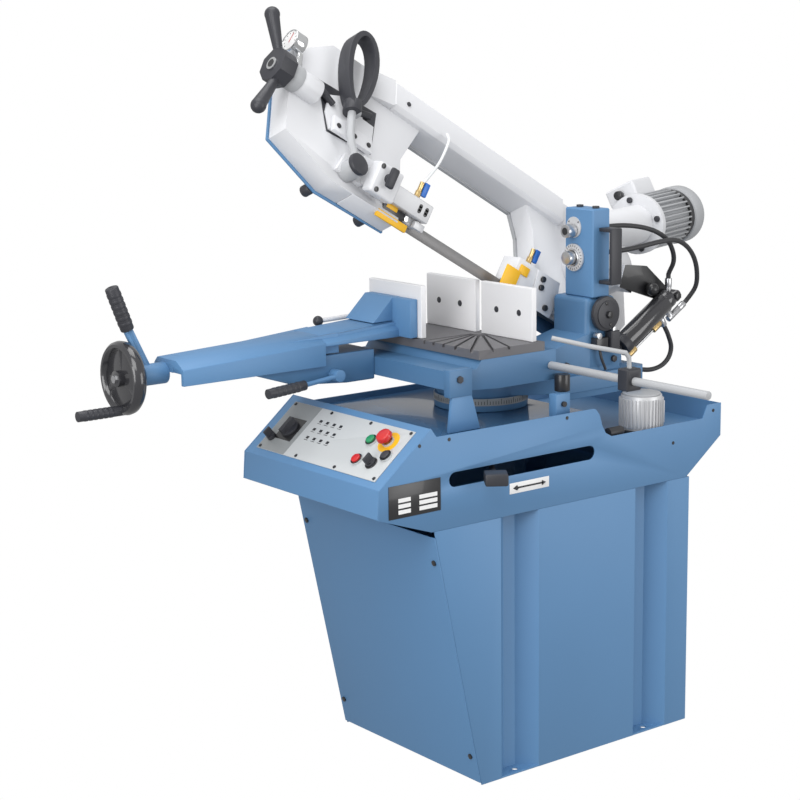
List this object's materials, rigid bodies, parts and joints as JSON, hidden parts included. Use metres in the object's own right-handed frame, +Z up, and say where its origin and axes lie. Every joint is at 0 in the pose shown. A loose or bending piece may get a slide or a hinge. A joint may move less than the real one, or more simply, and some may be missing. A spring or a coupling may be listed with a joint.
{
  "type": "band saw",
  "caption": "Free-standing metal-cutting band saw: swivelling, tilting bow with covered blade wheels, vise with handwheel, coolant tray and a sloped control box on a sheet cabinet.",
  "frame": {"origin": "on the floor under the centre of the cabinet footprint", "axes": "+Z up, +X from the sloped control end towards the motor end, +Y from the operator's side to the far side"},
  "size_m": [1.8306, 0.947, 1.7663],
  "materials": {
    "blue_paint": "satin",
    "white_paint": "satin",
    "dark_plastic": "matte",
    "steel": "ground",
    "cast_dark": "machined",
    "alloy": "satin",
    "plate_white": "satin",
    "red_plastic": "gloss",
    "green_plastic": "gloss",
    "black_metal": "satin"
  },
  "bodies": {
    "base": {"cabinet": "blue_paint", "front_panel": "blue_paint", "floor_pan": "blue_paint", "coolant_tray": "blue_paint", "control_box": "blue_paint", "control_plate": "plate_white", "turntable_base": "blue_paint", "cross_beam": "blue_paint", "saw_table": "cast_dark", "fixed_jaw_near": "steel", "fixed_jaw_far": "steel", "vise_bed": "blue_paint", "support_post": "blue_paint", "stop_rod": "steel", "pump_motor": "alloy"},
    "swivel": {"swivel_arm": "blue_paint", "pivot_bracket": "blue_paint", "valve_post": "blue_paint", "post_handle": "dark_plastic", "limit_switch": "dark_plastic", "hose_upper": "dark_plastic", "hose_lower": "dark_plastic", "hose_drain": "dark_plastic"},
    "head": {"bow_frame": "white_paint", "pivot_shaft": "black_metal", "wheel_cover": "blue_paint", "saw_blade": "steel", "gearbox": "white_paint", "motor_body": "alloy", "fan_cover": "alloy", "terminal_box": "white_paint", "tension_gauge": "steel", "handle_bracket": "dark_plastic", "loop_handle": "dark_plastic", "guide_clamp": "white_paint", "right_guide": "alloy"},
    "idler": {"idler_wheel": "alloy"},
    "drive": {"drive_wheel": "alloy"},
    "tensioner": {"tension_knob": "dark_plastic"},
    "guide": {"guide_arm": "alloy", "left_guide": "alloy"},
    "ram_body": {"ram_barrel": "black_metal"},
    "ram_stem": {"ram_rod": "steel"},
    "vise": {"vise_arm": "blue_paint", "jaw_block": "blue_paint", "moving_jaw": "steel"},
    "vise_wheel": {"handwheel": "dark_plastic"},
    "vise_clamp": {"clamp_lever": "dark_plastic"},
    "vise_lock": {"lock_lever": "dark_plastic"},
    "swivel_lock": {"swivel_lock_lever": "steel"},
    "length_stop": {"stop_clamp": "black_metal"},
    "feed_valve": {"feed_knob": "dark_plastic"},
    "speed_valve": {"speed_dial": "dark_plastic"},
    "isolator": {"main_switch": "dark_plastic"},
    "speed_pot": {"speed_knob": "dark_plastic"},
    "mode_selector": {"selector_knob": "dark_plastic"},
    "estop": {"estop_button": "red_plastic"},
    "start": {"start_button": "green_plastic"},
    "stop": {"stop_button": "red_plastic"},
    "feed": {"feed_button": "dark_plastic"}
  },
  "joints": [
    {"name": "head_swivel", "type": "hinge", "parent": "base", "child": "swivel", "pos_m": [-0.094, 0.017, 0.86], "axis": [0, 0, 1], "range_deg": [0, 45]},
    {"name": "head_tilt", "type": "hinge", "parent": "swivel", "child": "head", "pos_m": [0.14, 0.017, 1.04], "axis": [0, 1, 0], "range_deg": [-29.1, 0], "deforming": ["hose_upper", "hose_lower", "hose_drain"]},
    {"name": "drive_spin", "type": "hinge", "parent": "head", "child": "drive", "pos_m": [0.28096, 0.097, 1.08377], "axis": [0.2508, -0.866, 0.4326], "continuous": true},
    {"name": "idler_spin", "type": "hinge", "parent": "head", "child": "idler", "pos_m": [-0.44144, 0.097, 1.50253], "axis": [0.2508, -0.866, 0.4326], "continuous": true},
    {"name": "tension_turn", "type": "hinge", "parent": "head", "child": "tensioner", "pos_m": [-0.62693, 0.06236, 1.63318], "axis": [0.8652, 0, -0.5015], "range_deg": [-540, 540]},
    {"name": "guide_slide", "type": "slide", "parent": "head", "child": "guide", "axis": [0.8652, 0, -0.5015], "range_m": [0, 0.05]},
    {"name": "ram_pivot", "type": "hinge", "parent": "head", "child": "ram_body", "pos_m": [0.44778, -0.085, 1.04653], "axis": [0, 1, 0], "range_deg": [-3, 3]},
    {"name": "ram_stroke", "type": "slide", "parent": "ram_body", "child": "ram_stem", "axis": [-0.8454, 0, -0.5341], "range_m": [0, 0.0845]},
    {"name": "vise_travel", "type": "slide", "parent": "base", "child": "vise", "axis": [1, 0, 0], "range_m": [-0.05, 0.143]},
    {"name": "handwheel_turn", "type": "hinge", "parent": "vise", "child": "vise_wheel", "pos_m": [-0.988, 0.167, 0.976], "axis": [1, 0, 0], "continuous": true},
    {"name": "vise_clamp_turn", "type": "hinge", "parent": "vise", "child": "vise_clamp", "pos_m": [-0.91, 0.167, 0.976], "axis": [1, 0, 0], "range_deg": [-60, 15]},
    {"name": "vise_lock_turn", "type": "hinge", "parent": "base", "child": "vise_lock", "pos_m": [-0.47, 0.085, 0.93], "axis": [0, 1, 0], "range_deg": [-12, 4]},
    {"name": "swivel_lock_turn", "type": "hinge", "parent": "base", "child": "swivel_lock", "pos_m": [-0.094, 0.017, 0.736], "axis": [0, 0, 1], "range_deg": [-10, 48]},
    {"name": "length_stop_slide", "type": "slide", "parent": "base", "child": "length_stop", "axis": [0, 1, 0], "range_m": [-0.18, 0.15]},
    {"name": "feed_valve_turn", "type": "hinge", "parent": "swivel", "child": "feed_valve", "pos_m": [0.094, -0.095, 1.236], "axis": [1, 0, 0], "range_deg": [-150, 150]},
    {"name": "speed_valve_turn", "type": "hinge", "parent": "swivel", "child": "speed_valve", "pos_m": [0.094, -0.098, 1.172], "axis": [1, 0, 0], "range_deg": [-150, 150]},
    {"name": "main_switch_turn", "type": "hinge", "parent": "base", "child": "isolator", "pos_m": [-0.55028, 0.168, 0.80323], "axis": [-0.6332, 0, 0.774], "range_deg": [0, 90]},
    {"name": "speed_knob_turn", "type": "hinge", "parent": "base", "child": "speed_pot", "pos_m": [-0.5766, 0.205, 0.7817], "axis": [-0.6332, 0, 0.774], "range_deg": [-140, 140]},
    {"name": "selector_turn", "type": "hinge", "parent": "base", "child": "mode_selector", "pos_m": [-0.57273, -0.176, 0.78486], "axis": [-0.6332, 0, 0.774], "range_deg": [-45, 45]},
    {"name": "estop_press", "type": "slide", "parent": "base", "child": "estop", "axis": [-0.6332, 0, 0.774], "range_m": [-0.005, 0], "stiffness_N_per_m": 600, "springref_m": 0.004},
    {"name": "start_press", "type": "slide", "parent": "base", "child": "start", "axis": [-0.6332, 0, 0.774], "range_m": [-0.003, 0], "stiffness_N_per_m": 600, "springref_m": 0.004},
    {"name": "stop_press", "type": "slide", "parent": "base", "child": "stop", "axis": [-0.6332, 0, 0.774], "range_m": [-0.003, 0], "stiffness_N_per_m": 600, "springref_m": 0.004},
    {"name": "feed_press", "type": "slide", "parent": "base", "child": "feed", "axis": [-0.6332, 0, 0.774], "range_m": [-0.003, 0], "stiffness_N_per_m": 600, "springref_m": 0.004}
  ],
  "couplings": [
    {"joint": "idler_spin", "follows": "drive_spin", "ratio": 1},
    {"joint": "ram_pivot", "follows": "head_tilt", "ratio": -0.055},
    {"joint": "ram_stroke", "follows": "head_tilt", "m_per_rad": -0.1563},
    {"joint": "handwheel_turn", "follows": "vise_travel", "rad_per_m": 314.16}
  ]
}
